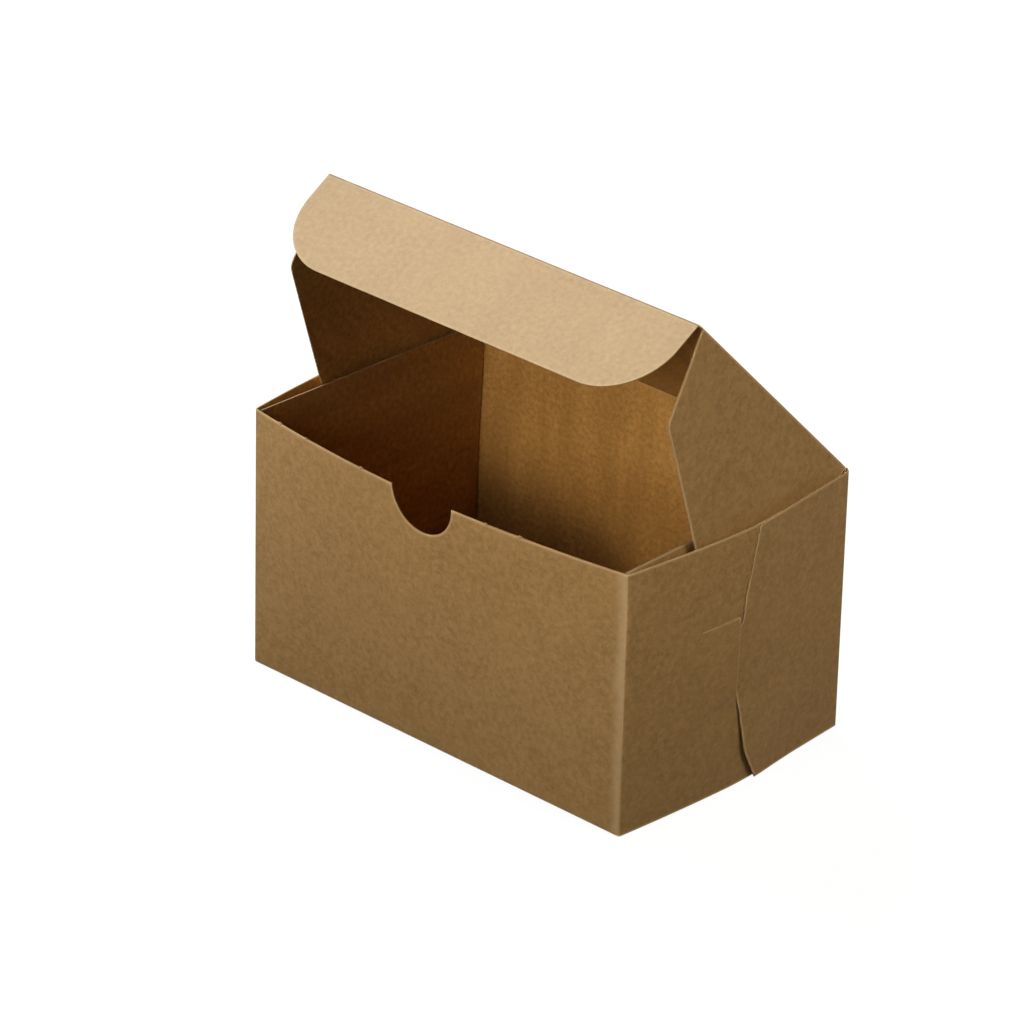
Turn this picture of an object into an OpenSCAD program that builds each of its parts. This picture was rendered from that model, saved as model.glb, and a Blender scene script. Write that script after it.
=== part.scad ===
// One-piece bakery box, folded from a die-cut blank of kraft paperboard.
// The front and back walls end in ears that lock at both ends of the box.
// The lid drops its two side flaps into the slots between the ears and the end panels.
// X runs along the front, the front faces -Y and +Z is up.
// The origin is the middle of the underside.

/* [Box] */
// Outside width at the creases, along the front
box_w = 178; // [150:1:230]
// Outside depth at the creases, front to back
box_d = 114; // [104:1:140]
// Outside height with the lid shut
box_h = 101.5; // [88:0.5:130]

/* [Board] */
// Thickness of the paperboard
board = 0.5; // [0.35:0.05:0.6]
// Outside radius of a folded crease
crease_r = 0.9; // [0.75:0.05:1.2]
// Air left between two layers of board that lie on each other
layer_gap = 0.08; // [0.05:0.01:0.12]

/* [Front wall] */
// How far the top edge of the front springs forward at its middle
front_bow = 7.7; // [4:0.1:10]
// Radius of the half-round thumb notch
notch_r = 14.2; // [8:0.1:18]

/* [Ears] */
// Length of a front ear, from its crease to its hidden tail
front_ear = 80; // [72:1:88]
// Corner radius of a front ear's tail
tail_r = 8; // [3:0.5:12]
// Distance from the front crease at which the ears cross and stand out furthest
ear_cross = 61; // [59:0.5:64]
// How far the ears stand out where they cross, at the rim
ear_top = 5.5; // [4:0.1:6.5]
// How far the ears stand out where they cross, at the table
ear_low = 3.3; // [2.5:0.1:4.5]
// Further lift of a back ear's free corner at its bottom
corner_lift = 1.8; // [0:0.1:2.5]
// Height of an ear's lower edge above the table
ear_clear = 0.4; // [0.1:0.1:1]

/* [Ear lock] */
// Distance of the upright slit from the front crease
slit_y = 53.5; // [50:0.5:56]
// Length of the slit's level arm
slit_arm = 18; // [12:0.5:22]
// Height of the lower end of the slit
slit_low = 33.4; // [28:0.1:38]
// Height of the slit's level arm
slit_high = 67.3; // [64:0.1:74]
// Width of the die cut
slit_w = 0.4; // [0.2:0.05:0.6]
// Height over which the lips of the slit part at its lower end
lip_ramp = 4; // [3:0.5:6]
// Height of the top of the tongue
tongue_top = 62.5; // [58:0.5:63.5]
// How far the tongue reaches in behind the slit
tongue_reach = 12; // [8:0.5:14]
// How far the tongue's hook drops below its neck
hook_drop = 7; // [4:0.5:10]
// Set-back of a back ear's free edge from the slit at the rim
edge_back_top = 7.3; // [5:0.1:9]
// Set-back of a back ear's free edge just above the tongue
edge_back_mid = 1.3; // [1:0.1:4]
// Set-back of a back ear's free edge below the tongue
edge_back_low = 2.2; // [2:0.1:4]
// Set-back of a back ear's free edge at its lower bend
edge_back_bend = 4.9; // [4:0.1:6]
// Set-back of a back ear's free edge at the table
edge_back_foot = 11.5; // [8:0.1:14]

/* [End panels] */
// How far the base's end creases lie inside the box's width
base_inset = 1.3; // [1:0.1:2]
// Lean of an end panel's top at the front
lean_front = 0.5; // [0.4:0.05:1]
// Lean of an end panel's top at the back
lean_back = 2.9; // [0.5:0.1:5]
// Gap between an end panel's edges and the walls
end_gap = 1.2; // [0.8:0.1:3]

/* [Lid] */
// How far the lid stands open
lid_open = 45; // [20:1:90]
// How far each side of the lid lies inside the box's width
lid_inset = 1; // [0.8:0.1:1.2]
// Gap from the front of the shut lid to the box's front crease
lid_front_gap = 0.3; // [0.2:0.1:1]
// Air under the shut lid
lid_gap = 0.2; // [0.1:0.05:0.5]
// Bare crease left between a bead and the panel that turns on it
hinge_gap = 0.2; // [0.15:0.05:0.3]
// Outward splay of the side flaps
side_splay = 1; // [0:0.1:1.2]
// Depth of a side flap's front edge, to its corner
side_front = 33.5; // [20:0.5:38]
// Angle of a side flap's front edge from the upright
side_taper = 17; // [10:1:30]
// Slope of a side flap's lower edge
side_slope = 27.5; // [20:0.5:30]
// Corner radius of the side flaps
side_r = 5; // [2:0.5:10]
// Distance of a side flap's deep corner from the hinge
side_deep_s = 15; // [10:1:30]

/* [Tuck flap] */
// Depth of the tuck flap
tuck_depth = 36.8; // [28:0.1:42]
// Corner radius of the tuck flap
tuck_r = 25.5; // [10:0.5:27]
// How far the tuck flap's sides lie inside the lid's
tuck_inset = 1.4; // [1.3:0.1:3]
// Fold of the tuck flap when the lid is shut
tuck_shut = 110; // [104:1:114]
// Turn of the tuck flap for each degree that the lid opens
tuck_ratio = 0.755; // [0.7:0.005:0.9]

/* [Hidden] */
kraft = [0.64, 0.52, 0.36];
arc_steps = 5;
// Exponent of the curve by which an ear opens out, and the depth over which it turns where the two cross
ear_curve = 1.6;
ear_round = 1;
// Distance over which the back lip sinks and a free corner lifts
lip_run = 10;
bow_steps = 14;
over = 1;
far = 20;

// Half sizes, and the heights of the rim and of the lid's crease
half_w = box_w / 2;
half_d = box_d / 2;
hinge_z = box_h - board / 2;
hinge_y = half_d - board / 2;
rim_z = hinge_z - board / 2 - lid_gap;
// Step from one layer of board to the next
layer = board + layer_gap;

// Ear lock
slit_root = slit_y - slit_arm;
neck_low = slit_low + lip_ramp;
back_crease = box_d - crease_r;

// Lid
lid_len = box_d - board / 2 - lid_front_gap - board / 2;
lid_half = half_w - lid_inset;
root = board / 2 + hinge_gap;
tuck_fold = tuck_shut - tuck_ratio * lid_open;
tuck_half = lid_half - tuck_inset;

// Number lists and easing

function clamp(t) = min(max(t, 0), 1);
function ease(t) = let (c = clamp(t)) c * c * (3 - 2 * c);
function spread(a, b, n) = [for (i = [0:n - 1]) a + (b - a) * i / n];
function flip(list) = [for (i = [len(list) - 1:-1:0]) list[i]];
function unit(v) = v / norm(v);

// Outline of corners given as [x, y, radius], with an arc at each
function corner(a, b, c) =
    let (
        u = unit([a.x - b.x, a.y - b.y]),
        v = unit([c.x - b.x, c.y - b.y]),
        half = acos(u * v) / 2,
        middle = [b.x, b.y] + unit(u + v) * b[2] / sin(half),
        first = [b.x, b.y] + u * b[2] / tan(half) - middle,
        last = [b.x, b.y] + v * b[2] / tan(half) - middle
    )
    [for (i = [0:arc_steps]) middle + b[2] * unit(first * (arc_steps - i) + last * i)];

function rounded(list) = [
    for (i = [0:len(list) - 1])
        let (n = len(list), b = list[i])
        for (p = b[2] > 0 ? corner(list[(i + n - 1) % n], b, list[(i + 1) % n]) : [[b.x, b.y]]) p
];

// How the board stands

// Forward bow of the front wall at a place across and a height
function bow_at(x, z) = front_bow * z / rim_z * (1 - pow(x / (half_w - crease_r), 2));

// Outward stand of the plain front ear, by distance from the front crease.
// It opens out to where the ears cross, and its tail lies along the inside of the back ear.
function ear_stand(y, z) =
    let (
        most = ear_low + (ear_top - ear_low) * z / rim_z,
        opening = most * (1 - pow(clamp(1 - y / ear_cross), ear_curve)),
        along_back = (most + layer) * (back_crease - y) / (back_crease - ear_cross) - layer,
        blend = max(ear_round - abs(opening - along_back), 0) / ear_round
    )
    min(opening, along_back) - blend * blend * ear_round / 4;

// Parting of the slit's lips: the front lip rises over the tongue and the back one sinks under it
function lip_rise(y, z) =
    let (up = z < slit_high ? ease((z - slit_low) / lip_ramp) : 0)
    layer * up * ease((y - slit_root) / (slit_arm - slit_w / 2));
function lip_sink(y, z) =
    let (
        reach = slit_high + lip_run,
        up = ease((z - slit_low) / lip_ramp) * ease((reach - z) / (reach - tongue_top)),
        back = ease((slit_y + lip_run - y) / lip_run)
    )
    layer * up * back;

// Outer face of a front ear
function front_ear_at(y, z) =
    ear_stand(y, z) + (y < slit_y ? lip_rise(y, z) : -lip_sink(y, z));

// Lift of a back ear's free corner at the table
function lift_at(y, z) =
    let (near = clamp((front_ear + lip_run - y) / (front_ear + lip_run - slit_y)))
    corner_lift * ease((neck_low - z) / neck_low) * pow(near, 1.5);

// Outer face of a back ear: over the front ear behind the slit, under it where the tongue is
function back_ear_at(y, z) =
    ear_stand(y, z) + (y < slit_y ? lip_rise(y, z) - layer : layer - lip_sink(y, z) + lift_at(y, z));

// Outer face of an end panel, inside the box's width
function end_inset(y, z) =
    base_inset + (lean_front + (lean_back - lean_front) * y / box_d) * pow(z / rim_z, 2);

// A sheet of board from matching rows of outer and inner points
module sheet(outer, inner) {
    n = len(outer);
    m = len(outer[0]);
    all = concat([for (row = outer, p = row) p], [for (row = inner, p = row) p]);
    under = n * m;
    skin = [
        for (i = [0:n - 2], j = [0:m - 2])
            [i * m + j, i * m + j + 1, (i + 1) * m + j + 1, (i + 1) * m + j]
    ];
    rim = concat(
        [for (j = [0:m - 2]) [j + 1, j]],
        [for (j = [0:m - 2]) [(n - 1) * m + j, (n - 1) * m + j + 1]],
        [for (i = [0:n - 2]) [i * m, (i + 1) * m]],
        [for (i = [0:n - 2]) [(i + 1) * m + m - 1, i * m + m - 1]]
    );
    faces = concat(
        [for (q = skin) each [[q[0], q[1], q[2]], [q[0], q[2], q[3]]]],
        [
            for (q = skin)
                each [
                    [under + q[2], under + q[1], under + q[0]],
                    [under + q[3], under + q[2], under + q[0]]
                ]
        ],
        [for (e = rim) each [[e[0], e[1], under + e[1]], [e[0], under + e[1], under + e[0]]]]
    );
    polyhedron(points = all, faces = faces);
}

// Rows of a wall, as [height, angle round the foot's crease]
foot_rows = [for (a = [0, 30, 60]) [crease_r * (1 - cos(a)), a]];
wall_rows = concat(
    foot_rows,
    [for (z = concat(
        spread(crease_r, slit_low, 4),
        spread(slit_low, neck_low, 2),
        spread(neck_low, tongue_top, 2),
        [tongue_top, slit_high - slit_w / 2],
        spread(slit_high + slit_w / 2, rim_z, 4),
        [rim_z]
    )) [z, 90]]
);

// Distances from the front crease at which an ear's points lie
before_slit = concat(spread(slit_root, slit_y - slit_w / 2, 3), [slit_y - slit_w / 2]);
behind_slit = concat(
    spread(slit_y + slit_w / 2, ear_cross + 7, 4),
    spread(ear_cross + 7, front_ear, 2),
    [front_ear]
);
to_back = concat([for (v = spread(front_ear, back_crease, 5)) if (v > front_ear) v], [back_crease]);
front_ear_places = concat(spread(crease_r, slit_root, 4), before_slit, behind_slit);
back_ear_places = concat(before_slit, behind_slit, to_back);

// One point of a wall as [outer point, inward step]
function ear_point(x, y, z) = [[x, y, z], [-board, 0, 0]];
function bend_point(y_sign, turn, row) =
    let (
        round = [cos(turn), sin(turn)],
        foot = crease_r * (1 - sin(row[1])) * (1 - cos(turn)),
        mid = [half_w - crease_r, half_d - crease_r]
    )
    [
        [mid.x + crease_r * round.x, y_sign * (mid.y + crease_r * round.y - foot), row[0]],
        board * [-round.x, -y_sign * round.y * sin(row[1]), round.y * cos(row[1])]
    ];
function wall_point(x, y_sign, bow, row) =
    [
        [x, y_sign * (half_d + bow - crease_r * (1 - sin(row[1]))), row[0]],
        board * [0, -y_sign * sin(row[1]), cos(row[1])]
    ];

function mirrored(point) = [[-point[0].x, point[0].y, point[0].z], [-point[1].x, point[1].y, point[1].z]];
function both_sides(right, middle) = concat(right, middle, flip([for (p = right) mirrored(p)]));

// A row of the front wall with its two ears, from the right ear's tail to the left one's
function front_row(row) =
    both_sides(
        concat(
            [for (y = flip(front_ear_places)) ear_point(half_w + front_ear_at(y, row[0]), y - half_d, row[0])],
            [for (turn = [30, 60]) bend_point(-1, turn, row)]
        ),
        [
            for (i = [0:bow_steps])
                let (x = (half_w - crease_r) * (1 - 2 * i / bow_steps))
                    wall_point(x, -1, bow_at(x, row[0]), row)
        ]
    );

// A row of the back wall with its two ears, from the right ear's tongue to the left one's
function back_row(row) =
    both_sides(
        concat(
            [for (y = back_ear_places) ear_point(half_w + back_ear_at(y, row[0]), y - half_d, row[0])],
            [for (turn = [30, 60, 90]) bend_point(1, turn, row)]
        ),
        []
    );

function outer_side(rows) = [for (row = rows) [for (p = row) p[0]]];
function inner_side(rows) = [for (row = rows) [for (p = row) p[0] + p[1]]];

// An outline in Y and Z, measured from the front crease, cut through the ears at both ends
module through_ears(outline) {
    for (side = [0, 1])
        mirror([side, 0, 0])
            translate([half_w - far / 2, -half_d, 0])
                rotate([90, 0, 90])
                    linear_extrude(far)
                        polygon(outline);
}

// What the die takes off a front ear: its tail's corners and its lower edge
function front_ear_waste() = rounded([
    [crease_r, -over, 0],
    [crease_r, 0, 0],
    [crease_r + 1, ear_clear, 0],
    [front_ear, ear_clear, tail_r],
    [front_ear, rim_z, tail_r],
    [front_ear - tail_r - 1, rim_z, 0],
    [front_ear - tail_r - 1, rim_z + over, 0],
    [front_ear + over, rim_z + over, 0],
    [front_ear + over, -over, 0]
]);

// What the die takes off a back ear: the space before its free edge, round the tongue and its hook
function back_ear_waste() = rounded([
    [slit_y + edge_back_top, rim_z + over, 0],
    [slit_y + edge_back_mid, tongue_top + 3, 1.2],
    [slit_y + edge_back_mid - 1.6, tongue_top, 1],
    [slit_y - tongue_reach, tongue_top, 6],
    [slit_y - tongue_reach, neck_low - hook_drop, 5],
    [slit_y - 1.2, neck_low - hook_drop, 1.5],
    [slit_y - 1.2, neck_low, 0.4],
    [slit_y + 0.5, neck_low, 0.3],
    [slit_y + 0.5, slit_low + 0.8, 1],
    [slit_y + edge_back_low, neck_low - 9, 4],
    [slit_y + edge_back_bend, ear_clear + 13, 8],
    [slit_y + edge_back_foot, ear_clear, 0],
    [back_crease - 1, ear_clear, 0],
    [back_crease, 0, 0],
    [back_crease, -over, 0],
    [slit_root - over, -over, 0],
    [slit_root - over, rim_z + over, 0]
]);

// The slit: a level arm that turns down into an upright one
module slits() {
    through_ears([
        [slit_root, slit_high + slit_w / 2],
        [slit_y + slit_w / 2, slit_high + slit_w / 2],
        [slit_y + slit_w / 2, slit_low],
        [slit_y - slit_w / 2, slit_low],
        [slit_y - slit_w / 2, slit_high - slit_w / 2],
        [slit_root, slit_high - slit_w / 2]
    ]);
}

module front_wall() {
    rows = [for (row = wall_rows) front_row(row)];
    difference() {
        sheet(outer_side(rows), inner_side(rows));
        through_ears(front_ear_waste());
        slits();
        translate([0, -half_d, rim_z])
            rotate([90, 0, 0])
                cylinder(h = 2 * far, r = notch_r, center = true, $fn = 96);
    }
}

module back_wall() {
    rows = [for (row = wall_rows) back_row(row)];
    difference() {
        sheet(inner_side(rows), outer_side(rows));
        through_ears(back_ear_waste());
    }
    // Strip up to the lid's crease, rounded along the crease line
    translate([-lid_half, half_d - board, rim_z - over])
        cube([2 * lid_half, board, hinge_z - rim_z + over]);
    crease_bead(lid_half, hinge_y, hinge_z);
}

// Rounded board along a crease that a panel turns on
module crease_bead(half, y, z) {
    translate([-half, y, z])
        rotate([0, 90, 0])
            cylinder(h = 2 * half, r = board / 2, $fn = 24);
}

// An end panel folds up from the base and leans in behind the ears
module end_panel() {
    places = spread(end_gap, box_d - end_gap, 6);
    ys = concat(places, [box_d - end_gap]);
    rows = concat(
        foot_rows,
        [for (z = concat(spread(crease_r, rim_z - lid_gap, 8), [rim_z - lid_gap])) [z, 90]]
    );
    points = [for (row = rows) [for (y = ys)
        [
            [half_w - end_inset(y, row[0]) - crease_r * (1 - sin(row[1])), y - half_d, row[0]],
            board * [-sin(row[1]), 0, cos(row[1])]
        ]
    ]];
    sheet(inner_side(points), outer_side(points));
}

module base() {
    size = [box_w - 2 * (base_inset + crease_r), box_d - 2 * crease_r, board];
    translate([-size.x / 2, -size.y / 2, 0])
        cube(size);
}

module tray() color(kraft) {
    front_wall();
    back_wall();
    base();
    end_panel();
    mirror([1, 0, 0])
        end_panel();
}

// The lid lies flat ahead of its hinge, which runs along X through the origin

// Section of the lid across X: top, creases and splayed side flaps
function lid_section(inset) =
    let (
        r = crease_r - inset,
        mid = [lid_half - crease_r, board / 2 - crease_r],
        drop = box_h,
        turns = [for (i = [0:arc_steps]) -side_splay + (90 + side_splay) * i / arc_steps],
        bend = [for (a = turns) mid + r * [cos(a), sin(a)]],
        tip = bend[0] + drop * [sin(side_splay), -cos(side_splay)],
        right = concat([tip], bend)
    )
    concat(right, flip([for (p = right) [-p.x, p.y]]));

// Side view of the lid with a side flap: distances ahead of the hinge and down from the lid
function lid_side() =
    let (
        front = lid_len - side_front * tan(side_taper),
        deep = side_front + (front - side_deep_s) * tan(side_slope)
    )
    rounded([
        [-root, board, 0],
        [-lid_len, board, 0],
        [-lid_len, -board / 2, 0],
        [-lid_len + 0.3, -crease_r, 0],
        [-front, -side_front, side_r],
        [-side_deep_s, -deep, 2 * side_r],
        [-root - 1, -crease_r, 0],
        [-root, -board / 2, 0]
    ]);

module lid_flat() {
    intersection() {
        rotate([90, 0, 0])
            linear_extrude(lid_len)
                polygon(concat(lid_section(0), flip(lid_section(board))));
        translate([-half_w - far, 0, 0])
            rotate([90, 0, 90])
                linear_extrude(box_w + 2 * far)
                    polygon(lid_side());
    }
    crease_bead(tuck_half, -lid_len, 0);
}

module tuck_flat() {
    translate([0, 0, -board / 2])
        linear_extrude(board)
            polygon(rounded([
                [-tuck_half, -root, 0],
                [-tuck_half + 0.4, -tuck_depth, tuck_r],
                [tuck_half - 0.4, -tuck_depth, tuck_r],
                [tuck_half, -root, 0]
            ]));
}

module at_lid_hinge() {
    translate([0, hinge_y, hinge_z])
        rotate([-lid_open, 0, 0])
            children();
}

module lid() color(kraft) at_lid_hinge() lid_flat();

module tuck_flap() color(kraft) at_lid_hinge()
    translate([0, -lid_len, 0])
        rotate([tuck_fold, 0, 0])
            tuck_flat();

tray();
lid();
tuck_flap();
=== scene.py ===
import math

import bpy
import numpy as np
from mathutils import Matrix, Vector
from mathutils.geometry import delaunay_2d_cdt


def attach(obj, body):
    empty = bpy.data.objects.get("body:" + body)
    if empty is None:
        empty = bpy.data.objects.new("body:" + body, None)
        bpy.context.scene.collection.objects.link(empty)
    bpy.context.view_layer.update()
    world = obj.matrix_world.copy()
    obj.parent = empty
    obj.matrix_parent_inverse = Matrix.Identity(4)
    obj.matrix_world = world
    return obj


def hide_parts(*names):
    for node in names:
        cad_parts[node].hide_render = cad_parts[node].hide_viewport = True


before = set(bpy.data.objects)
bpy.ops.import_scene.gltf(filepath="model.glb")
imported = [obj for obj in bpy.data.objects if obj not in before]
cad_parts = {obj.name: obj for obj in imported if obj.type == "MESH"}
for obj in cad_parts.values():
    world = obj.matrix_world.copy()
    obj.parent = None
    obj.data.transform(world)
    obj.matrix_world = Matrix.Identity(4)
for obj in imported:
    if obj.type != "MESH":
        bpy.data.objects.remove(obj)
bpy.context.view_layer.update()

# Sizes of the folded blank in millimetres and degrees, the same as in the part's source
BOX_W, BOX_D, BOX_H = 178.0, 114.0, 101.5
BOARD, CREASE_R = 0.5, 0.9
# One layer of board with its air, where one sheet lies on another
LAYER = BOARD + 0.08
FRONT_BOW, NOTCH_R = 7.7, 14.2

# Ears: where they cross, how far they stand off there at the rim and at the foot, and how that ridge is
# rounded and curved
EAR_CROSS, EAR_TOP, EAR_LOW, EAR_ROUND, EAR_CURVE = 61.0, 5.5, 3.3, 1.0, 1.6
FRONT_EAR, TAIL_R, EAR_CLEAR = 80.0, 8.0, 0.4
# The back ear's loose lower corner
CORNER_LIFT, CORNER_CURVE = 1.8, 1.5

# The front ear's slit, with its level arm, and its two lips
SLIT_Y, SLIT_ARM, SLIT_LOW, SLIT_HIGH, SLIT_W = 53.5, 18.0, 33.4, 67.3, 0.4
LIP_RAMP, LIP_FADE, LIP_SETTLE, LIP_REACH = 4.0, 10.0, 0.45, 2.0
# A steel rule leaves hardly a gap
KNIFE = 0.06

# The back ear's tongue, its hook and its free edge
TONGUE_TOP, TONGUE_REACH, HOOK_DROP = 62.5, 12.0, 7.0
EDGE_BACK_TOP, EDGE_BACK_MID, EDGE_BACK_LOW, EDGE_BACK_BEND, EDGE_BACK_FOOT = 7.3, 1.3, 2.2, 4.9, 11.5

# End panels
BASE_INSET, LEAN_FRONT, LEAN_BACK, END_GAP = 1.3, 0.5, 2.9, 1.2

# Lid, its side flaps and the tuck flap
LID_OPEN, LID_INSET, LID_GAP, LID_CORNER = 45.0, 1.0, 0.2, 1.6
SIDE_SPLAY, SIDE_FRONT, SIDE_TAPER, SIDE_SLOPE, SIDE_R, SIDE_DEEP_S = 1.0, 33.5, 17.0, 27.5, 5.0, 15.0
SIDE_SWELL, SIDE_SWELL_DEPTH, SIDE_SWELL_START = 0.7, 76.0, 40.0
TUCK_DEPTH, TUCK_R, TUCK_INSET, TUCK_TAPER = 36.8, 25.5, 1.4, 0.4
TUCK_FOLD = 110.0 - 0.755 * LID_OPEN

HALF_W, HALF_D = BOX_W / 2, BOX_D / 2
HINGE_Y, HINGE_Z = HALF_D - BOARD / 2, BOX_H - BOARD / 2
RIM_Z = HINGE_Z - BOARD / 2 - LID_GAP
SLIT_ROOT = SLIT_Y - SLIT_ARM
NECK_LOW = SLIT_LOW + LIP_RAMP
BACK_CREASE = BOX_D - CREASE_R
LID_LEN = BOX_D - BOARD - 0.3
LID_HALF = HALF_W - LID_INSET
TUCK_HALF = LID_HALF - TUCK_INSET

# Board that wraps round a crease, and the flat width up to it
WRAP = CREASE_R * math.pi / 2
SIDE_WRAP = CREASE_R * math.radians(90 - SIDE_SPLAY)
WALL_FLAT = HALF_W - CREASE_R
BASE_FLAT = HALF_W - BASE_INSET - CREASE_R
LID_FLAT = LID_HALF - CREASE_R
EAR_START = WALL_FLAT + WRAP

# Where a panel that turns ends beside its crease's roll: its outer face, and its mitred inner face
ROOT = BOARD / 2 + 0.02
MITRE = ROOT + 0.11

# Mesh steps in millimetres: over a panel and across a crease
GRID, COARSE_GRID, END_GRID, BASE_GRID = 2.0, 3.0, 3.0, 4.0
FOLD_STEP = WRAP / 5
TOP_STEP = 0.3
# Shortest piece of a cut edge, and the room between the edge and the points inside it
SHORTEST, EDGE_ROOM = 0.05, 0.12

# The flat blank's map is in units of this many millimetres
MAP_MM = 100
# Farther from a crease or a cut than any of their marks reach
AWAY = 50.0
# No end to a range on the blank
ENDLESS = 1000.0


def ease(t):
    c = np.clip(t, 0, 1)
    return c * c * (3 - 2 * c)


# How the board stands, by distance from the front crease and by height


def bow_at(x, z):
    return FRONT_BOW * z / RIM_Z * (1 - (x / WALL_FLAT) ** 2)


def ear_stand(y, z):
    """How far the ears stand off: a low roof, highest where they cross."""
    most = EAR_LOW + (EAR_TOP - EAR_LOW) * z / RIM_Z
    opening = most * (1 - np.clip(1 - y / EAR_CROSS, 0, 1) ** EAR_CURVE)
    along_back = (most + LAYER) * (BACK_CREASE - y) / (BACK_CREASE - EAR_CROSS) - LAYER
    blend = np.maximum(EAR_ROUND - np.abs(opening - along_back), 0) / EAR_ROUND
    return np.minimum(opening, along_back) - blend**2 * EAR_ROUND / 4


def lip_rise(y, z):
    """The slit's front lip, lifted by the tongue under it. It settles above the tongue."""
    settled = 1 - LIP_SETTLE * ease((z - TONGUE_TOP) / (SLIT_HIGH - TONGUE_TOP))
    up = np.where(z < SLIT_HIGH, ease((z - SLIT_LOW) / LIP_RAMP) * settled, 0)
    return LAYER * up * ease((y - SLIT_ROOT) / (SLIT_ARM - SLIT_W / 2))


def lip_sink(y, z):
    """The slit's back lip, pressed in by the back ear over it."""
    reach = SLIT_HIGH + LIP_REACH
    up = ease((z - SLIT_LOW) / LIP_RAMP) * ease((reach - z) / (reach - TONGUE_TOP))
    return LAYER * up * ease((SLIT_Y + LIP_FADE - y) / LIP_FADE)


def front_ear_at(y, z):
    above_arm = lip_sink(y, z) * ease((y - SLIT_ROOT) / SLIT_ARM) * (z > SLIT_HIGH)
    return ear_stand(y, z) + np.where(y < SLIT_Y, lip_rise(y, z) - above_arm, -lip_sink(y, z))


def back_ear_at(y, z):
    tail_end = FRONT_EAR + LIP_FADE
    near = np.clip((tail_end - y) / (tail_end - SLIT_Y), 0, 1)
    lift = CORNER_LIFT * ease((NECK_LOW - z) / NECK_LOW) * near**CORNER_CURVE
    over = LAYER - lip_sink(y, z) + lift
    return ear_stand(y, z) + np.where(y < SLIT_Y, lip_rise(y, z) - LAYER, over)


def end_inset(y, z):
    """How far an end panel stands in from the box's side. It leans in, most at the back."""
    return BASE_INSET + (LEAN_FRONT + (LEAN_BACK - LEAN_FRONT) * y / BOX_D) * (z / RIM_Z) ** 2


# Die-cut outlines on the flat blank


def rounded(corners, step=0.6):
    """Points of an outline whose corners are (x, y, radius)."""
    out = []
    count = len(corners)
    for i, (x, y, r) in enumerate(corners):
        here = np.array([x, y], float)
        if r <= 0:
            out.append(here)
            continue
        before = np.array(corners[i - 1][:2], float) - here
        after = np.array(corners[(i + 1) % count][:2], float) - here
        before /= np.linalg.norm(before)
        after /= np.linalg.norm(after)
        half = math.acos(float(np.clip(before @ after, -1, 1))) / 2
        along = before + after
        middle = here + along / np.linalg.norm(along) * r / math.sin(half)
        first = here + before * r / math.tan(half) - middle
        last = here + after * r / math.tan(half) - middle
        steps = max(4, int(r * (math.pi - 2 * half) / step))
        for k in range(steps + 1):
            way = first * (steps - k) + last * k
            out.append(middle + way / np.linalg.norm(way) * r)
    return out


def arc(x, y, r, start, stop, steps):
    turns = np.radians(np.linspace(start, stop, steps))
    return [np.array([x + r * math.cos(a), y + r * math.sin(a)]) for a in turns]


def whole_outline(right):
    """A closed outline from its right half, which starts and ends on the middle line."""
    return right + [np.array([-p[0], p[1]]) for p in reversed(right[1:-1])]


def stations(*stops):
    """Sorted values through each (start, end, step) run."""
    out = []
    for start, end, step in stops:
        count = max(1, int(round((end - start) / step)))
        out.extend(np.linspace(start, end, count + 1).tolist())
    return sorted(set(round(v, 5) for v in out))


def both_ways(*stops):
    """The same stations to the right and to the left of the middle line."""
    right = stations(*stops)
    return sorted({-u for u in right} | set(right))


def split_at_grid(outline, us, vs):
    """The outline with a point wherever it crosses a line of the grid."""
    out = []
    for a, b in zip(outline, outline[1:] + outline[:1]):
        cuts = {0.0}
        for axis, lines in ((0, us), (1, vs)):
            span = b[axis] - a[axis]
            if abs(span) > 1e-9:
                cuts.update(t for t in ((line - a[axis]) / span for line in lines) if 0 < t < 1)
        length = float(np.linalg.norm(b - a))
        last = None
        for t in sorted(cuts):
            if last is None or ((t - last) * length > SHORTEST and (1 - t) * length > SHORTEST):
                out.append(a + (b - a) * t)
                last = t
    return out


def inside(points, outline):
    ring = np.array(outline)
    a, b = ring, np.roll(ring, -1, axis=0)
    x, y = points[:, :1], points[:, 1:]
    crosses = (a[:, 1] > y) != (b[:, 1] > y)
    rise = np.where(np.abs(b[:, 1] - a[:, 1]) < 1e-12, 1e-12, b[:, 1] - a[:, 1])
    left = x < a[:, 0] + (y - a[:, 1]) * (b[:, 0] - a[:, 0]) / rise
    return (crosses & left).sum(1) % 2 == 1


def distance_to(points, outline):
    """Each point's distance to the outline, worked out a batch at a time to save memory."""
    ring = np.array(outline)
    a, b = ring, np.roll(ring, -1, axis=0)
    along = b - a
    length = (along**2).sum(1).clip(1e-12)
    batch = 2000
    best = np.empty(len(points))
    for start in range(0, len(points), batch):
        p = points[start : start + batch, None, :] - a
        t = ((p * along).sum(2) / length).clip(0, 1)
        best[start : start + batch] = np.linalg.norm(p - t[..., None] * along, axis=2).min(1)
    return best


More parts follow.
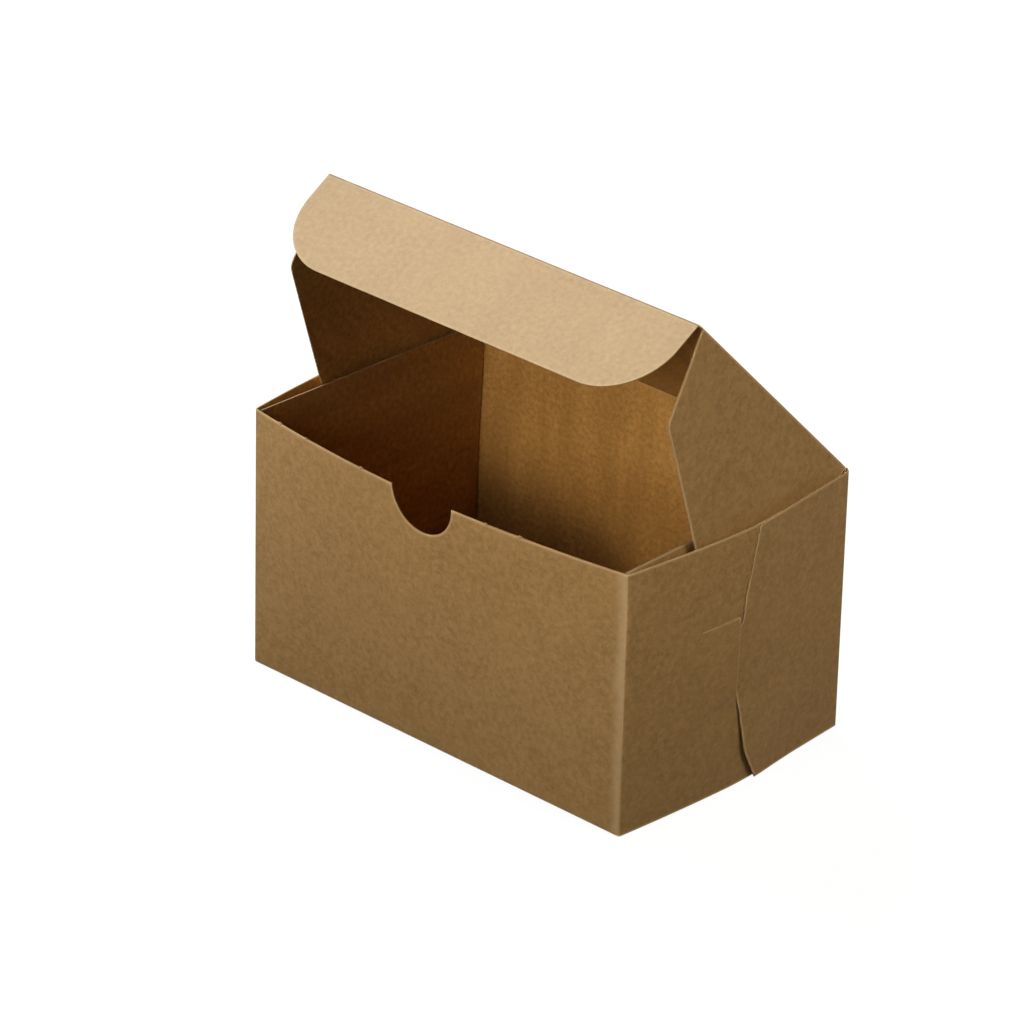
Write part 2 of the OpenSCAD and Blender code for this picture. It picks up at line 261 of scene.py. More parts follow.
def die_cut(outline, us, vs, holes=()):
    """A triangulated flat panel: points, triangles and how far each point is from a cut edge."""
    rings = [split_at_grid(ring, us, vs) for ring in (outline, *holes)]
    grid = np.array([(u, v) for u in us for v in vs])
    keep = inside(grid, rings[0])
    for ring in rings[1:]:
        keep &= ~inside(grid, ring)
    grid = grid[keep]
    for ring in rings:
        grid = grid[distance_to(grid, ring) > EDGE_ROOM]
    points, edges = [], []
    for ring in rings:
        first = len(points)
        points.extend(ring)
        edges.extend((first + i, first + (i + 1) % len(ring)) for i in range(len(ring)))
    points.extend(grid)
    made = delaunay_2d_cdt([Vector(p) for p in points], edges, [], 0, 1e-5)
    flat = np.array([tuple(p) for p in made[0]])
    tris = np.array([tuple(f) for f in made[2]])
    centres = flat[tris].mean(1)
    keep = inside(centres, rings[0])
    for ring in rings[1:]:
        keep &= ~inside(centres, ring)
    tris = tris[keep]
    a, b, c = (flat[tris[:, i]] for i in range(3))
    turn = np.cross(b - a, c - a)
    tris[turn < 0] = tris[turn < 0][:, ::-1]
    tris = tris[np.abs(turn) > 1e-7]
    used = np.unique(tris)
    renumber = np.full(len(flat), -1)
    renumber[used] = np.arange(len(used))
    flat, tris = flat[used], renumber[tris]
    # A slit's lips are pale over a third of an outer edge's band
    cut = distance_to(flat, rings[0])
    for ring in rings[1:]:
        cut = np.minimum(cut, distance_to(flat, ring) * 3)
    return flat, tris, cut


# Pieces


def new_piece(name, mesh, body, *nodes):
    """An object for a finished mesh, on its body, in the place of the CAD nodes named."""
    piece = bpy.data.objects.new(name, mesh)
    bpy.context.scene.collection.objects.link(piece)
    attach(piece, body)
    if nodes:
        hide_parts(*nodes)
    return piece


def mark_board(mesh, blank, from_crease, from_cut):
    """What the board's material follows: each vertex's place on the flat blank, so that the grain runs on
    round the creases, and its distance from a crease and from a cut, in millimetres."""
    corners = np.zeros(len(mesh.loops), int)
    mesh.loops.foreach_get("vertex_index", corners)
    mesh.uv_layers.new(name="flat_blank").uv.foreach_set("vector", (blank[corners] / MAP_MM).ravel())
    for label, values in (("from_crease", from_crease), ("from_cut", from_cut)):
        mesh.attributes.new(label, "FLOAT", "POINT").data.foreach_set("value", values)
    mesh.polygons.foreach_set("use_smooth", [True] * len(mesh.polygons))
    mesh.set_sharp_from_angle(angle=math.radians(50))


def crease(axis, at, half=ENDLESS, inward=5, outward=5):
    """A pressed crease at one place along the blank's u (axis 0) or v (axis 1), with half its length. Its
    pale band, partly rubbed fibres and partly painted highlight, is inward and outward times narrower than
    the material's own width, on the side towards the middle line and on the side away from it. Along v both
    sides take outward."""
    return axis, at, half, inward, outward


def folded_board(name, body, panel, fold, materials, creases, node, inner_vs=(-ENDLESS, ENDLESS)):
    """A piece of board: the flat panel stands where fold puts its outer face, and the board is laid inside
    it. materials are for the outer face, the inner face and the cut edge. inner_vs are the v limits of the
    inner face, which is mitred where the piece turns on a crease."""
    flat, tris, cut = panel
    skin = fold(flat[:, 0], flat[:, 1])
    count = len(flat)
    mesh = bpy.data.meshes.new(name)
    mesh.from_pydata(skin.tolist(), [], tris.tolist())
    normals = np.zeros(count * 3)
    mesh.vertices.foreach_get("normal", normals)
    under = fold(flat[:, 0], flat[:, 1].clip(*inner_vs)) - BOARD * normals.reshape(-1, 3)
    mesh.clear_geometry()

    pairs = np.concatenate([tris[:, [0, 1]], tris[:, [1, 2]], tris[:, [2, 0]]])
    edges = {tuple(p) for p in pairs.tolist()}
    rim = [(a, b) for a, b in edges if (b, a) not in edges]
    faces = tris.tolist() + (tris[:, ::-1] + count).tolist()
    faces += [(b, a, a + count, b + count) for a, b in sorted(rim)]
    mesh.from_pydata((np.concatenate([skin, under]) / 1000).tolist(), [], faces)
    mesh.polygons.foreach_set("material_index", [0] * len(tris) + [1] * len(tris) + [2] * len(rim))
    for material in materials:
        mesh.materials.append(material)

    near = np.full(count, ENDLESS)
    for axis, at, half, inward, outward in creases:
        beyond = np.maximum(np.abs(flat[:, 1 - axis]) - half, 0)
        across = np.abs(flat[:, 0]) - abs(at) if axis == 0 else np.abs(flat[:, 1] - at)
        across = np.where(across > 0, across * outward, -across * inward)
        across += ENDLESS * (flat[:, axis] * at < 0)
        near = np.minimum(near, np.hypot(across, beyond))
    mark_board(
        mesh, np.concatenate([flat, flat]), np.tile(near.clip(0, AWAY), 2), np.tile(cut.clip(0, AWAY), 2)
    )
    mesh.update()
    return new_piece(name, mesh, body, node)


# Materials


def colour(code):
    """Linear colour of an sRGB hex code."""
    parts = [int(code[i : i + 2], 16) / 255 for i in (0, 2, 4)]
    linear = [c / 12.92 if c <= 0.04045 else ((c + 0.055) / 1.055) ** 2.4 for c in parts]
    return (*linear, 1.0)


def add(tree, kind, inputs=None, **settings):
    """One node with its settings. inputs maps a socket's name or number to a value or to a socket to link."""
    made = tree.nodes.new(kind)
    for key, value in settings.items():
        setattr(made, key, value)
    for key, value in (inputs or {}).items():
        if isinstance(value, bpy.types.NodeSocket):
            tree.links.new(value, made.inputs[key])
        else:
            made.inputs[key].default_value = value
    return made


def empty_material(name):
    material = bpy.data.materials.new(name)
    material.use_nodes = True
    material.node_tree.nodes.clear()
    return material, material.node_tree


def per_metre(size_mm):
    """Scale of a pattern in metres from the size of its features."""
    return 1000 / size_mm


# Pale fibres that a crease or a blade has roughened, also painted highlight where creases and cut edges catch
# the light
ROUGHENED_AND_HIGHLIT = "d2b482"


def kraft_board(name, pale, middle, dark, seed, streaks, flocks=0.85, rub=6.0, lip=0.85):
    """Unbleached kraft paperboard, uncoated and calendered: nearly matt, with flocked fibres about 1 mm
    across, faint machine-direction streaks, and paler bands where it has been creased or cut: partly
    roughened fibres and partly painted highlight where a crease's turn or a cut edge catches the light.
    streaks and flocks are the strength of those, rub is the width in mm of the pale band along a crease, and
    lip is how pale the board is beside a cut."""
    material, tree = empty_material(name)
    place = add(tree, "ShaderNodeUVMap", uv_map="flat_blank").outputs[0]
    spot = add(tree, "ShaderNodeMapping", {0: place, 1: (seed, seed * 1.7, seed * 0.3)}).outputs[0]

    # Each pattern's turn, its stretch along v, the size of its noise in mm, its detail and its roughness
    patterns = {}
    for label, turn, stretch, size_mm, detail, rough in (
        # Flocks of fibre about 1 mm across, with finer fibres in them
        ("flocks", 0.0, 1.0, 2.0, 4.0, 0.72),
        # The pulp's formation clouds, about 12 mm across
        ("clouds", 0.0, 1.0, 24.0, 2.0, 0.5),
        # Streaks along the machine direction, 4 mm wide and some 20 mm long
        ("streaks", 0.0, 0.2, 8.0, 2.0, 0.5),
        # Single dark fibres, really 0.04 mm wide, and drawn ten times as wide so that they show
        ("fibres", 0.6, 0.35, 0.9, 1.0, 0.5),
        # A crease band's uneven width, which changes every few millimetres
        ("wander", 0.0, 1.0, 6.0, 2.0, 0.5),
    ):
        laid = add(tree, "ShaderNodeMapping", {0: spot, 2: (0, 0, turn), 3: (1.0, stretch, 1.0)}).outputs[0]
        patterns[label] = add(
            tree, "ShaderNodeTexNoise",
            {"Vector": laid, "Scale": MAP_MM / size_mm, "Detail": detail, "Roughness": rough},
        ).outputs[0]

    share = add(tree, "ShaderNodeMapRange", {0: patterns["flocks"], 1: 0.32, 2: 0.68}).outputs[0]
    tone = add(
        tree, "ShaderNodeMix", {0: share, 6: colour(dark), 7: colour(pale)}, data_type="RGBA"
    ).outputs[2]
    surface = add(
        tree, "ShaderNodeMix", {0: flocks, 6: colour(middle), 7: tone}, data_type="RGBA"
    ).outputs[2]
    from_crease = add(tree, "ShaderNodeAttribute", attribute_name="from_crease").outputs[2]
    wander = add(
        tree, "ShaderNodeMapRange", {0: patterns["wander"], 1: 0.3, 2: 0.7, 3: 0.8, 4: 1.25}
    ).outputs[0]
    rubbed_and_highlit = add(tree, "ShaderNodeMath", {0: from_crease, 1: wander}, operation="MULTIPLY").outputs[0]
    from_cut = add(tree, "ShaderNodeAttribute", attribute_name="from_cut").outputs[2]

    # Each layer's source, the range of it that matters, the layer's weight at both ends of that range,
    # its colour, and how the weight runs between the ends
    for source, low, high, first, last, tint, ramp in (
        (patterns["clouds"], 0.35, 0.7, 0.0, 0.2, pale, "LINEAR"),
        (patterns["streaks"], 0.35, 0.65, 0.0, streaks, dark, "LINEAR"),
        (patterns["fibres"], 0.62, 0.78, 0.0, 0.12, dark, "LINEAR"),
        # Pale band along a crease and pale lip beside a cut: roughened fibres, and painted highlight where
        # they catch the light
        (rubbed_and_highlit, 0.0, rub, 0.6, 0.0, ROUGHENED_AND_HIGHLIT, "SMOOTHSTEP"),
        (from_cut, 0.15, 1.0, lip, 0.0, ROUGHENED_AND_HIGHLIT, "LINEAR"),
    ):
        weight = add(
            tree, "ShaderNodeMapRange", {0: source, 1: low, 2: high, 3: first, 4: last},
            interpolation_type=ramp,
        ).outputs[0]
        surface = add(
            tree, "ShaderNodeMix", {0: weight, 6: surface, 7: colour(tint)}, data_type="RGBA"
        ).outputs[2]

    # The flocks stand 0.02 mm proud
    bump = add(
        tree, "ShaderNodeBump", {"Strength": 0.08, "Distance": 0.00002, "Height": patterns["flocks"]}
    ).outputs[0]
    shader = add(
        tree, "ShaderNodeBsdfPrincipled",
        {"Base Color": surface, "Roughness": 0.6, "IOR": 1.5, "Specular IOR Level": 0.12, "Normal": bump},
    )
    add(tree, "ShaderNodeOutputMaterial", {0: shader.outputs[0]})
    return material


def die_cut_edge(name):
    """The cut core of the board: torn pale fibres, matt and a little fuzzy, without the calendered skin."""
    material, tree = empty_material(name)
    place = add(tree, "ShaderNodeTexCoord").outputs["Object"]
    # Bundles of cut fibres, drawn 0.8 mm long so that they show
    fuzz = add(
        tree, "ShaderNodeTexNoise", {"Vector": place, "Scale": per_metre(0.8), "Detail": 2.0}
    ).outputs[0]
    level = add(tree, "ShaderNodeMapRange", {0: fuzz, 1: 0.3, 2: 0.7}).outputs[0]
    tint = add(
        tree, "ShaderNodeMix", {0: level, 6: colour("9e7e50"), 7: colour("b89563")}, data_type="RGBA"
    ).outputs[2]
    shader = add(
        tree, "ShaderNodeBsdfPrincipled",
        {"Base Color": tint, "Roughness": 0.9, "IOR": 1.5, "Specular IOR Level": 0.2},
    )
    add(tree, "ShaderNodeOutputMaterial", {0: shader.outputs[0]})
    return material


kraft_outside = kraft_board("kraft_paperboard_outside", "b89159", "a68250", "8d6d3f", 3.1, 0.08)
# The tuck flap is drawn smoother, greyer and less flocked; its grey paleness is painted sheen of the lamps'
# glare on its upward face
kraft_flap_painted_sheen = kraft_board(
    "kraft_paperboard_tuck_flap_painted_sheen", "b7a077", "a38b66", "85704f", 5.2, 0.1, flocks=0.42, lip=0.2
)
# The inside is drawn warmer and more streaked; its warmth is partly painted light, bounced between the box's
# brown walls
kraft_inside_painted_bounce = kraft_board(
    "kraft_paperboard_inside_painted_bounce", "c99951", "b48547", "8e6331", 7.4, 0.35, rub=0.8, lip=0.15
)
# Darker board, as painted shade: on the rolled creases, whose turn would catch the lamps, and on the end
# panels' top cut edges, shaded by the lid's side flaps
kraft_painted_shade = kraft_board(
    "kraft_paperboard_painted_shade", "957a55", "846a48", "72593b", 1.3, 0.1, lip=0.1
)
cut_edge = die_cut_edge("kraft_board_cut_edge")

# Front wall with its two ears. u runs round the outside from the middle of the front, v is the height
# above the foot's crease.


def fold_wall(side_y, ear_at, wall_bow):
    """Fold of a wall: side_y is -1 for the front and 1 for the back."""

    def fold(u, v):
        a = np.abs(u)
        lift = np.clip(v / WRAP + 1, 0, 1) * math.pi / 2
        z_foot = CREASE_R * (1 - np.cos(lift))
        z = np.where((v < 0) & (a <= WALL_FLAT + 1e-6), z_foot, CREASE_R + v)
        step_in = np.where(v < 0, CREASE_R * (1 - np.sin(lift)), 0)
        wall_y = side_y * (HALF_D + wall_bow(u, z) - step_in)
        turn = (a - WALL_FLAT) / CREASE_R
        bend_x = np.sign(u) * (WALL_FLAT + CREASE_R * np.sin(turn))
        bend_y = side_y * (HALF_D - CREASE_R) + side_y * CREASE_R * np.cos(turn)
        from_front = CREASE_R + a - WALL_FLAT - WRAP
        if side_y > 0:
            from_front = BOX_D - from_front
        ear_x = np.sign(u) * (HALF_W + ear_at(from_front, z))
        on_wall, on_bend = a <= WALL_FLAT + 1e-6, a < EAR_START - 1e-6
        x = np.where(on_wall, u, np.where(on_bend, bend_x, ear_x))
        y = np.where(on_wall, wall_y, np.where(on_bend, bend_y, from_front - HALF_D))
        return np.stack([x * -side_y, y, z], 1)

    return fold


RIM_V = RIM_Z - CREASE_R
CLEAR_V = EAR_CLEAR - CREASE_R


def front_u(y):
    return EAR_START + y - CREASE_R


def back_u(y):
    return EAR_START + BACK_CREASE - y


tail_u = front_u(FRONT_EAR)
front_right = (
    [np.array([0.0, -WRAP]), np.array([WALL_FLAT, -WRAP]), np.array([WALL_FLAT, CLEAR_V])]
    + arc(tail_u - TAIL_R, CLEAR_V + TAIL_R, TAIL_R, -90, 0, 20)
    + arc(tail_u - TAIL_R, RIM_V - TAIL_R, TAIL_R, 0, 90, 20)
    + arc(0, RIM_V, NOTCH_R, 0, -90, 40)
)


def slit_hole(side):
    half = KNIFE / 2
    ring = [
        (SLIT_ROOT, SLIT_HIGH + half), (SLIT_Y + half, SLIT_HIGH + half), (SLIT_Y + half, SLIT_LOW),
        (SLIT_Y - half, SLIT_LOW), (SLIT_Y - half, SLIT_HIGH - half), (SLIT_ROOT, SLIT_HIGH - half),
    ]
    return [np.array([side * front_u(y), z - CREASE_R]) for y, z in ring]


upright = EAR_START - WRAP / 2
front_panel = die_cut(
    whole_outline(front_right),
    both_ways((0, WALL_FLAT, GRID), (WALL_FLAT, EAR_START, FOLD_STEP), (EAR_START, tail_u, GRID)),
    stations((-WRAP, 0, FOLD_STEP), (0, RIM_V, GRID)),
    [slit_hole(1), slit_hole(-1)],
)
folded_board(
    "front_wall_and_ears", "tray", front_panel, fold_wall(-1, front_ear_at, bow_at),
    (kraft_outside, kraft_inside_painted_bounce, cut_edge),
    [crease(0, upright, inward=1, outward=12), crease(1, -WRAP / 2, WALL_FLAT)], "tray",
)

# Back wall with its two ears, each with a hooked tongue. Its top edge rises to the lid's crease.
CREASE_V = HINGE_Z - CREASE_R
ear_edge = rounded([
    (BACK_CREASE, EAR_CLEAR, 0), (SLIT_Y + EDGE_BACK_FOOT, EAR_CLEAR, 0),
    (SLIT_Y + EDGE_BACK_BEND, EAR_CLEAR + 13, 8), (SLIT_Y + EDGE_BACK_LOW, NECK_LOW - 9, 4),
    (SLIT_Y + 0.5, SLIT_LOW + 0.8, 1), (SLIT_Y + 0.5, NECK_LOW, 0.3), (SLIT_Y - 1.2, NECK_LOW, 0.4),
    (SLIT_Y - 1.2, NECK_LOW - HOOK_DROP, 1.5), (SLIT_Y - TONGUE_REACH, NECK_LOW - HOOK_DROP, 5),
    (SLIT_Y - TONGUE_REACH, TONGUE_TOP, 6), (SLIT_Y + EDGE_BACK_MID - 1.6, TONGUE_TOP, 1),
    (SLIT_Y + EDGE_BACK_MID, TONGUE_TOP + 3, 1.2), (SLIT_Y + EDGE_BACK_MID + 0.6, TONGUE_TOP + 12, 25),
    (SLIT_Y + EDGE_BACK_TOP, RIM_Z, 0), (BACK_CREASE, RIM_Z, 0),
])
back_right = (
    [np.array([0.0, -WRAP]), np.array([WALL_FLAT, -WRAP]), np.array([WALL_FLAT, CLEAR_V])]
    + [np.array([back_u(y), z - CREASE_R]) for y, z in ear_edge]
    + [np.array([LID_HALF, RIM_V]), np.array([LID_HALF, CREASE_V]), np.array([0.0, CREASE_V])]
)
tongue_u = back_u(SLIT_Y - TONGUE_REACH)
back_panel = die_cut(
    whole_outline(back_right),
    both_ways((0, WALL_FLAT, GRID), (WALL_FLAT, EAR_START, FOLD_STEP), (EAR_START, tongue_u, GRID)),
    stations((-WRAP, 0, FOLD_STEP), (0, RIM_V, GRID), (RIM_V, CREASE_V, TOP_STEP)),
)
folded_board(
    "back_wall_and_ears", "tray", back_panel, fold_wall(1, back_ear_at, lambda x, z: 0 * x),
    (kraft_outside, kraft_inside_painted_bounce, cut_edge),
    [
        crease(0, upright), crease(0, -upright),
        crease(1, -WRAP / 2, WALL_FLAT), crease(1, CREASE_V, LID_HALF),
    ],
    "tray",
)

# Base with the two end panels that fold up from it


def fold_base(u, v):
    a = np.abs(u)
    turn = np.clip((a - BASE_FLAT) / WRAP, 0, 1) * math.pi / 2
    rise = np.maximum(a - BASE_FLAT - WRAP, 0)
    z = CREASE_R * (1 - np.cos(turn)) + rise
    lean = end_inset(HALF_D - v, z) - BASE_INSET
    x = np.minimum(a, BASE_FLAT) + CREASE_R * np.sin(turn) - np.where(rise > 0, lean, 0)
    return np.stack([np.sign(u) * x, -v, z], 1)


end_top = BASE_FLAT + WRAP + RIM_Z - LID_GAP - CREASE_R
base_v, panel_v = HALF_D - CREASE_R, HALF_D - END_GAP
base_crease = BASE_FLAT + WRAP / 2
base_right = [
    np.array(p, float) for p in (
        (0, -base_v), (BASE_FLAT, -base_v), (base_crease, -panel_v), (end_top, -panel_v),
        (end_top, panel_v), (base_crease, panel_v), (BASE_FLAT, base_v), (0, base_v),
    )
]
base_panel = die_cut(
    whole_outline(base_right),
    both_ways(
        (0, BASE_FLAT, BASE_GRID), (BASE_FLAT, BASE_FLAT + WRAP, FOLD_STEP),
        (BASE_FLAT + WRAP, end_top, END_GRID),
    ),
    stations((-base_v, base_v, END_GRID)),
)
# The end panels' top cut edges take the darker board, as painted shade of the lid's side flaps
folded_board(
    "base_and_end_panels", "tray", base_panel, fold_base, (kraft_outside, kraft_inside_painted_bounce, kraft_painted_shade),
    [
        crease(0, base_crease), crease(0, -base_crease),
        crease(1, base_v + WRAP / 2, BASE_FLAT), crease(1, -base_v - WRAP / 2, BASE_FLAT),
    ],
    "tray",
)

# Lid with its two side flaps. It is laid out ahead of its hinge and then turned open.


def turned(points, angle, shift):
    """Points turned about X by an angle in degrees, then shifted."""
    c, s = math.cos(math.radians(angle)), math.sin(math.radians(angle))
    x, y, z = points.T
    return np.stack([x + shift[0], c * y - s * z + shift[1], s * y + c * z + shift[2]], 1)


def at_lid(points):
    return turned(points, -LID_OPEN, (0, HINGE_Y, HINGE_Z))


def fold_lid(u, v):
    a = np.abs(u)
    splay = math.radians(SIDE_SPLAY)
    turn = np.clip((a - LID_FLAT) / SIDE_WRAP, 0, 1) * math.radians(90 - SIDE_SPLAY)
    drop = np.maximum(a - LID_FLAT - SIDE_WRAP, 0)
    # The flaps swell outwards, but not beside the hinge, where the ears are close
    swell = SIDE_SWELL * np.sin(np.clip(drop / SIDE_SWELL_DEPTH, 0, 1) * math.pi)
    swell = swell * ease(-v / SIDE_SWELL_START)
    x = np.minimum(a, LID_FLAT) + CREASE_R * np.sin(turn) + drop * math.sin(splay) + swell
    z = BOARD / 2 - CREASE_R * (1 - np.cos(turn)) - drop * math.cos(splay)
    return at_lid(np.stack([np.sign(u) * x, v, z], 1))


def flap_u(depth):
    return LID_FLAT + SIDE_WRAP + depth + BOARD / 2 - CREASE_R


flap_front = LID_LEN - SIDE_FRONT * math.tan(math.radians(SIDE_TAPER))
flap_deep = SIDE_FRONT + (flap_front - SIDE_DEEP_S) * math.tan(math.radians(SIDE_SLOPE))
flap_edge = rounded([
    (flap_u(CREASE_R), -LID_LEN + LID_CORNER, 0), (flap_u(SIDE_FRONT), -flap_front, SIDE_R),
    (flap_u(flap_deep), -SIDE_DEEP_S, 2 * SIDE_R), (flap_u(CREASE_R), -ROOT - 1, 0),
])
side_crease = LID_FLAT + SIDE_WRAP / 2
lid_right = (
    [
        np.array([0.0, -LID_LEN + ROOT]), np.array([TUCK_HALF, -LID_LEN + ROOT]),
        np.array([side_crease, -LID_LEN + LID_CORNER]),
    ]
    + flap_edge + [np.array([side_crease, -ROOT]), np.array([0.0, -ROOT])]
)
lid_panel = die_cut(
    whole_outline(lid_right),
    both_ways(
        (0, LID_FLAT, COARSE_GRID), (LID_FLAT, LID_FLAT + SIDE_WRAP, FOLD_STEP),
        (LID_FLAT + SIDE_WRAP, flap_u(flap_deep), GRID),
    ),
    stations((-LID_LEN + ROOT, -ROOT, COARSE_GRID)),
)
folded_board(
    "lid_and_side_flaps", "lid", lid_panel, fold_lid, (kraft_outside, kraft_inside_painted_bounce, cut_edge),
    [
        crease(0, side_crease), crease(0, -side_crease),
        crease(1, 0, LID_HALF), crease(1, -LID_LEN, LID_HALF),
    ],
    "lid", inner_vs=(MITRE - LID_LEN, -MITRE),
)


# Tuck flap, folded down from the lid's front crease


def fold_tuck(u, v):
    flat_board = np.stack([u, v, 0 * u + BOARD / 2], 1)
    return at_lid(turned(flat_board, TUCK_FOLD, (0, -LID_LEN, 0)))


tuck_outline = rounded([
    (-TUCK_HALF + TUCK_TAPER, -TUCK_DEPTH, TUCK_R), (TUCK_HALF - TUCK_TAPER, -TUCK_DEPTH, TUCK_R),
    (TUCK_HALF, -ROOT, 0), (-TUCK_HALF, -ROOT, 0),
])
tuck_panel = die_cut(
    tuck_outline, stations((-TUCK_HALF, TUCK_HALF, GRID)), stations((-TUCK_DEPTH, -ROOT, GRID))
)
folded_board(
    "tuck_flap_panel", "tuck_flap", tuck_panel, fold_tuck, (kraft_flap_painted_sheen, kraft_inside_painted_bounce, kraft_flap_painted_sheen),
    [], "tuck_flap", inner_vs=(-ENDLESS, -MITRE),
)


# Nicks: tufts of torn fibre where small bridges held the blank in its sheet, along the front wall's top edge


def edge_nicks(name, body, places, length, seed):
    """A tuft of torn board at each place of a cut edge, by Geometry Nodes."""
    points = bpy.data.meshes.new(name)
    points.from_pydata((np.array(places) / 1000).tolist(), [], [])
    group = bpy.data.node_groups.new(name, "GeometryNodeTree")
    face = group.interface
    face.new_socket("Geometry", in_out="INPUT", socket_type="NodeSocketGeometry")
    length_in = face.new_socket("Tuft length", in_out="INPUT", socket_type="NodeSocketFloat")
    seed_in = face.new_socket("Seed", in_out="INPUT", socket_type="NodeSocketInt")
    face.new_socket("Geometry", in_out="OUTPUT", socket_type="NodeSocketGeometry")
    given = group.nodes.new("NodeGroupInput")
    tuft = add(group, "GeometryNodeMeshIcoSphere", {"Radius": given.outputs[1], "Subdivisions": 2}).outputs[0]
    # Torn ragged by up to 0.2 mm, in bits about 0.4 mm across
    place = add(group, "GeometryNodeInputPosition").outputs[0]
    ragged = add(
        group, "ShaderNodeTexNoise", {"Vector": place, "Scale": per_metre(0.4), "Detail": 1.0}
    ).outputs[1]
    push = add(
        group, "ShaderNodeVectorMath", {0: ragged, 1: (-0.5, -0.5, -0.5)}, operation="ADD"
    ).outputs[0]
    push = add(group, "ShaderNodeVectorMath", {0: push, 3: 0.0004}, operation="SCALE").outputs[0]
    torn = add(group, "GeometryNodeSetPosition", {"Geometry": tuft, "Offset": push}).outputs[0]
    size = add(
        group, "FunctionNodeRandomValue",
        {0: (0.9, 0.45, 0.55), 1: (1.2, 0.6, 0.85), "Seed": given.outputs[2]}, data_type="FLOAT_VECTOR",
    ).outputs[0]
    turn = add(
        group, "FunctionNodeRandomValue",
        {0: (-0.3, -0.5, -0.3), 1: (0.3, 0.5, 0.3), "Seed": given.outputs[2]}, data_type="FLOAT_VECTOR",
    ).outputs[0]
    laid = add(
        group, "GeometryNodeInstanceOnPoints",
        {"Points": given.outputs[0], "Instance": torn, "Rotation": turn, "Scale": size},
    ).outputs[0]
    real = add(group, "GeometryNodeRealizeInstances", {0: laid}).outputs[0]
    done = add(group, "GeometryNodeSetMaterial", {0: real, "Material": cut_edge}).outputs[0]
    group.links.new(done, group.nodes.new("NodeGroupOutput").inputs[0])

    maker = bpy.data.objects.new(name + "_maker", points)
    bpy.context.scene.collection.objects.link(maker)
    modifier = maker.modifiers.new("nicks", "NODES")
    modifier.node_group = group
    modifier[length_in.identifier] = length / 1000
    modifier[seed_in.identifier] = seed
    ready = maker.evaluated_get(bpy.context.evaluated_depsgraph_get())
    mesh = bpy.data.meshes.new_from_object(ready)
    bpy.data.objects.remove(maker)
    return new_piece(name, mesh, body)


# The bridges stood 14.85 mm apart, and these left a tuft
BRIDGE_PITCH = 14.85
nick_x = [-HALF_W + BRIDGE_PITCH * k for k in (1, 2, 4, 8, 9)]
nick_y = [-HALF_D - bow_at(x, RIM_Z) + BOARD / 2 for x in nick_x]
edge_nicks("die_nicks", "tray", [(x, y, RIM_Z) for x, y in zip(nick_x, nick_y)], length=0.85, seed=4)

# Rolled board along the two creases that panels turn on, in the darker board as painted shade of their turn


def crease_roll(name, body, half, place, turns=12, rings=60):
    """A round bead of board from -half to half along X, stood where place puts its points."""
    around = [2 * math.pi / turns * k for k in range(turns)]
    ring = [(BOARD / 2 * math.cos(a), BOARD / 2 * math.sin(a)) for a in around]
    xs = np.linspace(-half, half, rings)
    points = place(np.array([(x, y, z) for x in xs for y, z in ring]))
    faces = [
        (i * turns + k, i * turns + (k + 1) % turns, (i + 1) * turns + (k + 1) % turns, (i + 1) * turns + k)
        for i in range(rings - 1) for k in range(turns)
    ]
    faces += [tuple(range(turns))[::-1], tuple((rings - 1) * turns + k for k in range(turns))]
    mesh = bpy.data.meshes.new(name)
    mesh.from_pydata((points / 1000).tolist(), [], faces)
    mesh.materials.append(kraft_painted_shade)
    blank = np.array([(x, a * BOARD / 2) for x in xs for a in around])
    away = np.full(len(blank), AWAY)
    mark_board(mesh, blank, away, away)
    return new_piece(name, mesh, body)


crease_roll("lid_crease", "tray", LID_HALF, at_lid)
crease_roll("tuck_crease", "lid", TUCK_HALF, lambda points: at_lid(points + np.array([0, -LID_LEN, 0])))

# Camera at the photograph's angle, from a fit to the corners of the box: metres, and pixels of its frame
AZIMUTH, ELEVATION, ROLL = (math.radians(a) for a in (42.81, 26.72, -1.44))
DISTANCE, AIM_HEIGHT, SLIDE_LEFT, SLIDE_UP = 2.1175, 0.05, 0.01214, 0.02002
FOCAL_PX, FRAME_PX, SENSOR_MM = 6000, 1024, 36
back = Vector((
    math.sin(AZIMUTH) * math.cos(ELEVATION), -math.cos(AZIMUTH) * math.cos(ELEVATION), math.sin(ELEVATION)
))
right = (-back).cross(Vector((0, 0, 1))).normalized()
down = (-back).cross(right)
right, down = (
    math.cos(ROLL) * right + math.sin(ROLL) * down,
    -math.sin(ROLL) * right + math.cos(ROLL) * down,
)
camera = bpy.data.objects.new("camera", bpy.data.cameras.new("camera"))
bpy.context.scene.collection.objects.link(camera)
stand = Vector((0, 0, AIM_HEIGHT)) + back * DISTANCE - right * SLIDE_LEFT - down * SLIDE_UP
facing = Matrix((right, -down, back)).transposed().to_4x4()
camera.matrix_world = Matrix.Translation(stand) @ facing
camera.data.sensor_width = SENSOR_MM
camera.data.lens = FOCAL_PX / FRAME_PX * SENSOR_MM
camera.data.clip_start, camera.data.clip_end = 0.1, 30
bpy.context.scene.camera = camera

# White floor and world, which the camera sees as plain white, with the box's soft shadow kept


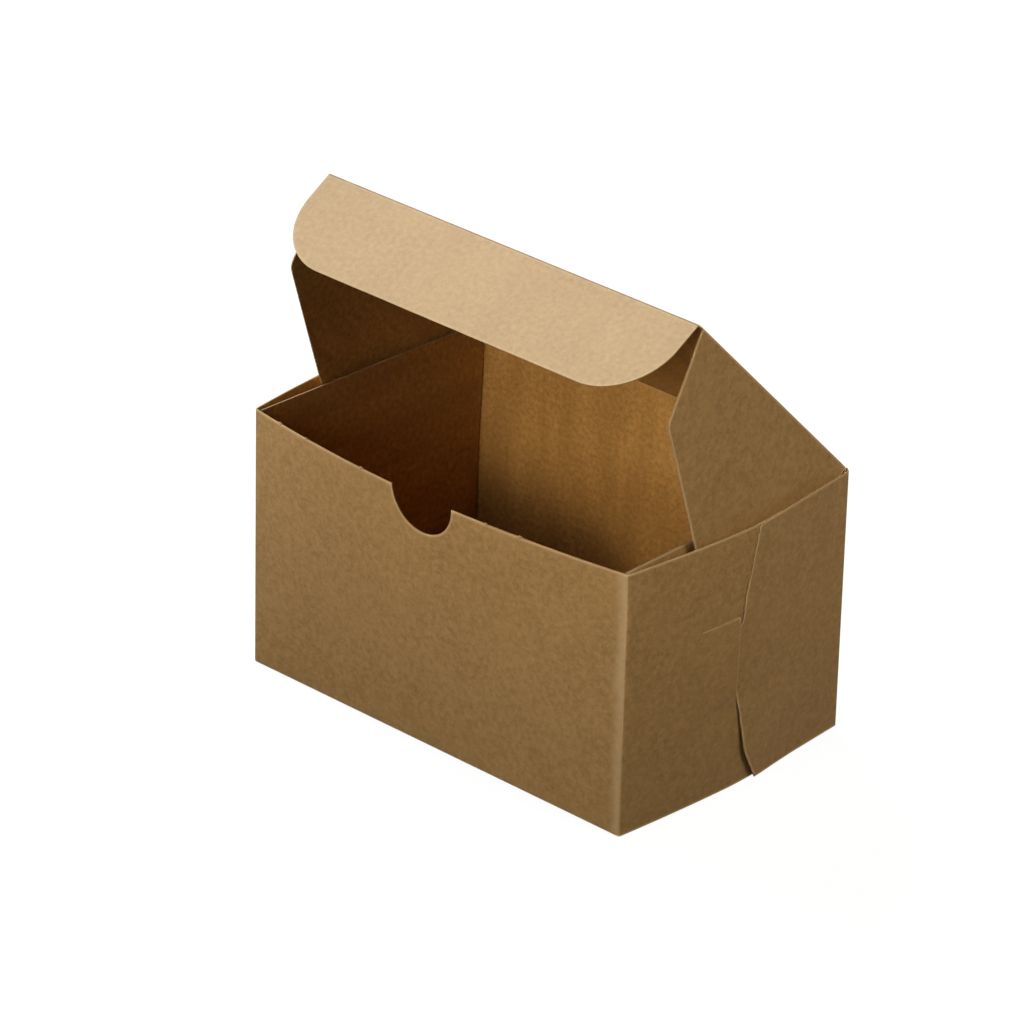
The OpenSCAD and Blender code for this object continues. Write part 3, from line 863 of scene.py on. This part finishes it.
def soft_box(
    name, bearing, height, watts, size=0.5, aim=(0, 0.06), spread=180, tint="ffffff", distance=1.2
):
    """A round soft box at a bearing from the front and a height angle in degrees, aimed at x and z in metres.
    spread is the opening of its grid."""
    bearing, height = math.radians(bearing), math.radians(height)
    way = Vector((
        math.cos(height) * math.sin(bearing), -math.cos(height) * math.cos(bearing), math.sin(height)
    ))
    light = bpy.data.lights.new(name, "AREA")
    light.shape = "DISK"
    light.size = size
    light.energy = watts
    light.spread = math.radians(spread)
    light.color = colour(tint)[:3]
    made = bpy.data.objects.new(name, light)
    made.location = Vector((aim[0], 0, aim[1])) + way * distance
    made.rotation_mode = "QUATERNION"
    made.rotation_quaternion = way.to_track_quat("Z", "Y")
    bpy.context.scene.collection.objects.link(made)


def seen_ray(tree):
    """1 where the camera sees something by itself, in a gloss or through glass."""
    rays = add(tree, "ShaderNodeLightPath").outputs
    seen = rays["Is Camera Ray"]
    for other in ("Is Glossy Ray", "Is Transmission Ray"):
        seen = add(tree, "ShaderNodeMath", {0: seen, 1: rays[other]}, operation="MAXIMUM").outputs[0]
    return seen


def floor(half=4, depth=-0.0002):
    corners = [(-half, -half, depth), (half, -half, depth), (half, half, depth), (-half, half, depth)]
    mesh = bpy.data.meshes.new("floor")
    mesh.from_pydata(corners, [], [(0, 1, 2, 3)])
    material, tree = empty_material("white_paper_sweep")
    # What is seen is white glow, with a tenth of the floor's own shading so that the shadow stays. It throws
    # little light back on the box.
    seen = seen_ray(tree)
    tint = add(
        tree, "ShaderNodeMix", {0: seen, 6: colour("404040"), 7: colour("ffffff")}, data_type="RGBA"
    ).outputs[2]
    matt = add(tree, "ShaderNodeBsdfDiffuse", {"Color": tint}).outputs[0]
    glow = add(tree, "ShaderNodeEmission", {"Strength": 1.04}).outputs[0]
    share = add(tree, "ShaderNodeMath", {0: seen, 1: 0.9}, operation="MULTIPLY").outputs[0]
    both = add(tree, "ShaderNodeMixShader", {0: share, 1: matt, 2: glow}).outputs[0]
    add(tree, "ShaderNodeOutputMaterial", {0: both})
    mesh.materials.append(material)
    made = bpy.data.objects.new("floor", mesh)
    bpy.context.scene.collection.objects.link(made)


floor()
world = bpy.data.worlds.new("white_room")
bpy.context.scene.world = world
world.use_nodes = True
tree = world.node_tree
tree.nodes.clear()
# The room is white where it is seen and lights the box by a fiftieth of that
strength = add(tree, "ShaderNodeMapRange", {0: seen_ray(tree), 3: 0.02, 4: 1.0}).outputs[0]
sky = add(tree, "ShaderNodeBackground", {"Color": (1, 1, 1, 1), "Strength": strength}).outputs[0]
add(tree, "ShaderNodeOutputWorld", {0: sky})

soft_box("key_behind_left", -105, 45, 18, size=0.8, tint="f6f8ff")
soft_box("left", -80, 12, 13.5, tint="f2f7ff")
soft_box("right", 105, 50, 7, tint="fff6f0")
soft_box("front", 0, 30, 3.8)
soft_box("front_with_grid", 0, 25, 0.08, size=0.2, aim=(0, 0.15), spread=22, tint="ffece4")
soft_box("front_right_with_grid", 25, 15, 0.028, size=0.2, aim=(0.08, 0.12), spread=12)

bpy.context.scene.view_settings.view_transform = "Standard"
